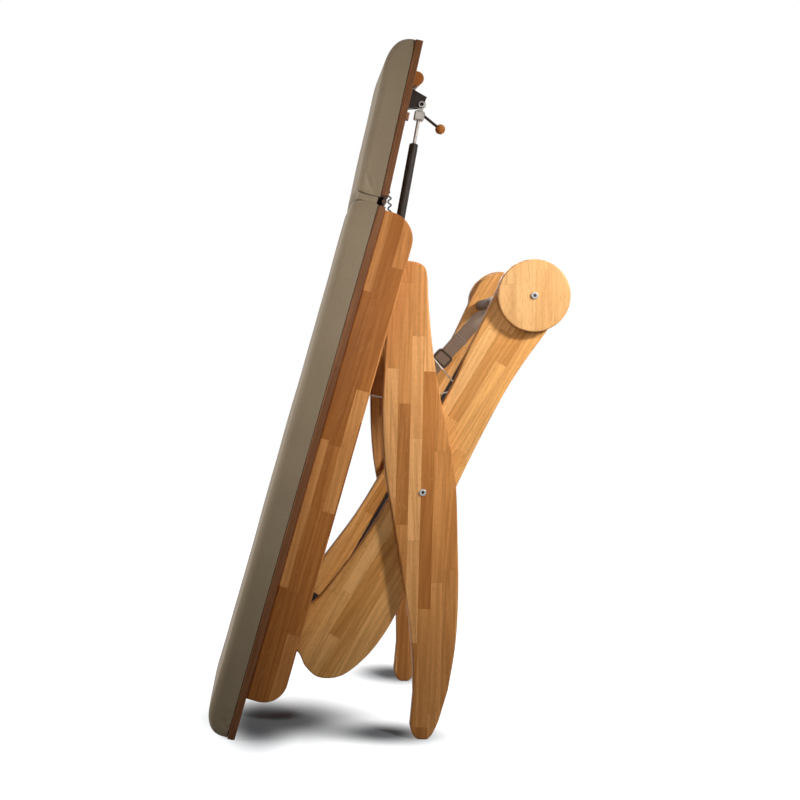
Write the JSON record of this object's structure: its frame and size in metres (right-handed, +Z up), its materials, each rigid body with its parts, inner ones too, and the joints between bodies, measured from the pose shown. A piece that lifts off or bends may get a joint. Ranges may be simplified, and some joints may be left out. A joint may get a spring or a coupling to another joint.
{
  "type": "folding therapy lounger",
  "caption": "Folding therapy lounger of laminated oak with a padded panel, a gas-sprung tilting head panel, crossed folding legs and transport wheels, stood upright on its foot end.",
  "frame": {"origin": "on the floor, at the middle of the stood-up lounger's footprint box", "axes": "+Z up; +X from the padding towards the legs and wheels; Y across the lounger, left side at -Y"},
  "size_m": [0.9616, 0.64, 1.9032],
  "materials": {
    "oiled_oak": "oiled, glue-laminated staves",
    "board_oak": "darker oiled board",
    "taupe_leatherette": "matte fine-grained leatherette",
    "black_steel": "black, satin",
    "bright_steel": "bright zinc",
    "cast_grey_metal": "grey, cast",
    "grey_webbing": "woven webbing",
    "pale_cord": "braided cord",
    "black_cord": "black sheath",
    "bush_brass": "plain bush"
  },
  "bodies": {
    "frame": {"main_board": "board_oak", "main_cushion": "taupe_leatherette", "side_rail_left": "oiled_oak", "side_rail_right": "oiled_oak", "foot_cross_member": "oiled_oak", "middle_cross_member": "oiled_oak", "head_cross_member": "oiled_oak", "leg_axle": "bright_steel", "notch_rack_left": "oiled_oak", "notch_rack_right": "oiled_oak", "gas_spring_foot_bracket": "black_steel", "gas_spring_foot_pin": "bright_steel", "head_hinge_main_leaf": "black_steel", "head_hinge_pin": "bright_steel", "taut_line_eye": "bright_steel", "slack_line_eye": "bright_steel", "taut_line": "pale_cord", "slack_line": "pale_cord", "curly_cord": "black_cord", "curl_clip_frame": "black_steel"},
    "head_panel": {"head_board": "board_oak", "head_cushion": "taupe_leatherette", "head_hinge_head_leaf": "black_steel", "gas_spring_head_bracket": "black_steel", "gas_spring_head_bolt": "bright_steel", "head_stop_dowel": "oiled_oak", "head_bump_block": "oiled_oak", "curl_clip_head": "black_steel"},
    "gas_cylinder": {"gas_spring_cylinder": "black_steel", "gas_spring_gland": "black_steel"},
    "gas_rod": {"gas_spring_rod": "bright_steel", "release_head": "cast_grey_metal", "lever_pin": "bright_steel"},
    "lever": {"release_lever": "black_steel", "lever_ball": "oiled_oak"},
    "inner_legs": {"inner_leg_left": "oiled_oak", "inner_leg_right": "oiled_oak", "leg_crossbar": "cast_grey_metal", "brace_bar_left": "black_steel", "brace_bar_right": "black_steel", "pivot_plate_left": "black_steel", "pivot_plate_right": "black_steel", "line_post": "bright_steel", "strap": "grey_webbing", "strap_loop": "grey_webbing", "strap_buckle": "cast_grey_metal", "wheel_bolt_left": "bright_steel", "wheel_bolt_right": "bright_steel"},
    "wheel_left_body": {"wheel_left": "oiled_oak", "wheel_bush_left": "bush_brass"},
    "wheel_right_body": {"wheel_right": "oiled_oak", "wheel_bush_right": "bush_brass"},
    "outer_legs": {"outer_leg_left": "oiled_oak", "outer_leg_right": "oiled_oak", "notch_dowel": "oiled_oak", "strap_rod": "black_steel", "strap_foot_loop": "grey_webbing", "pivot_bolt_left": "bright_steel", "pivot_bolt_right": "bright_steel"}
  },
  "joints": [
    {"name": "head_tilt", "type": "hinge", "parent": "frame", "child": "head_panel", "pos_m": [-0.03769, 0, 1.45984], "axis": [0, -1, 0], "range_deg": [-25, 15], "deforming": ["curly_cord"]},
    {"name": "gas_cylinder_swing", "type": "hinge", "parent": "frame", "child": "gas_cylinder", "pos_m": [0.02251, 0, 1.38044], "axis": [0, -1, 0], "range_deg": [-22, 13.5]},
    {"name": "gas_rod_slide", "type": "slide", "parent": "gas_cylinder", "child": "gas_rod", "axis": [0.1542, 0, 0.988], "range_m": [-0.035, 0.021]},
    {"name": "lever_pull", "type": "hinge", "parent": "gas_rod", "child": "lever", "pos_m": [0.09265, 0, 1.76169], "axis": [0, 1, 0], "range_deg": [0, 12], "stiffness_Nm_per_rad": 0.6, "springref_deg": -14.32},
    {"name": "leg_fold", "type": "hinge", "parent": "frame", "child": "inner_legs", "pos_m": [-0.27568, 0, 0.29756], "axis": [0, -1, 0], "range_deg": [0, 8], "deforming": ["taut_line", "slack_line"]},
    {"name": "leg_cross", "type": "hinge", "parent": "inner_legs", "child": "outer_legs", "pos_m": [0.09011, 0, 0.67498], "axis": [0, 1, 0], "range_deg": [-0.5, 18.5], "deforming": ["strap"]},
    {"name": "wheel_left_roll", "type": "hinge", "parent": "inner_legs", "child": "wheel_left_body", "pos_m": [0.38137, 0, 1.21989], "axis": [0, 1, 0], "continuous": true},
    {"name": "wheel_right_roll", "type": "hinge", "parent": "inner_legs", "child": "wheel_right_body", "pos_m": [0.38137, 0, 1.21989], "axis": [0, 1, 0], "continuous": true}
  ],
  "couplings": [
    {"joint": "gas_cylinder_swing", "follows": "head_tilt", "ratio": 0.845},
    {"joint": "gas_rod_slide", "follows": "head_tilt", "m_per_rad": 0.077},
    {"joint": "leg_cross", "follows": "leg_fold", "ratio": 2.25}
  ]
}
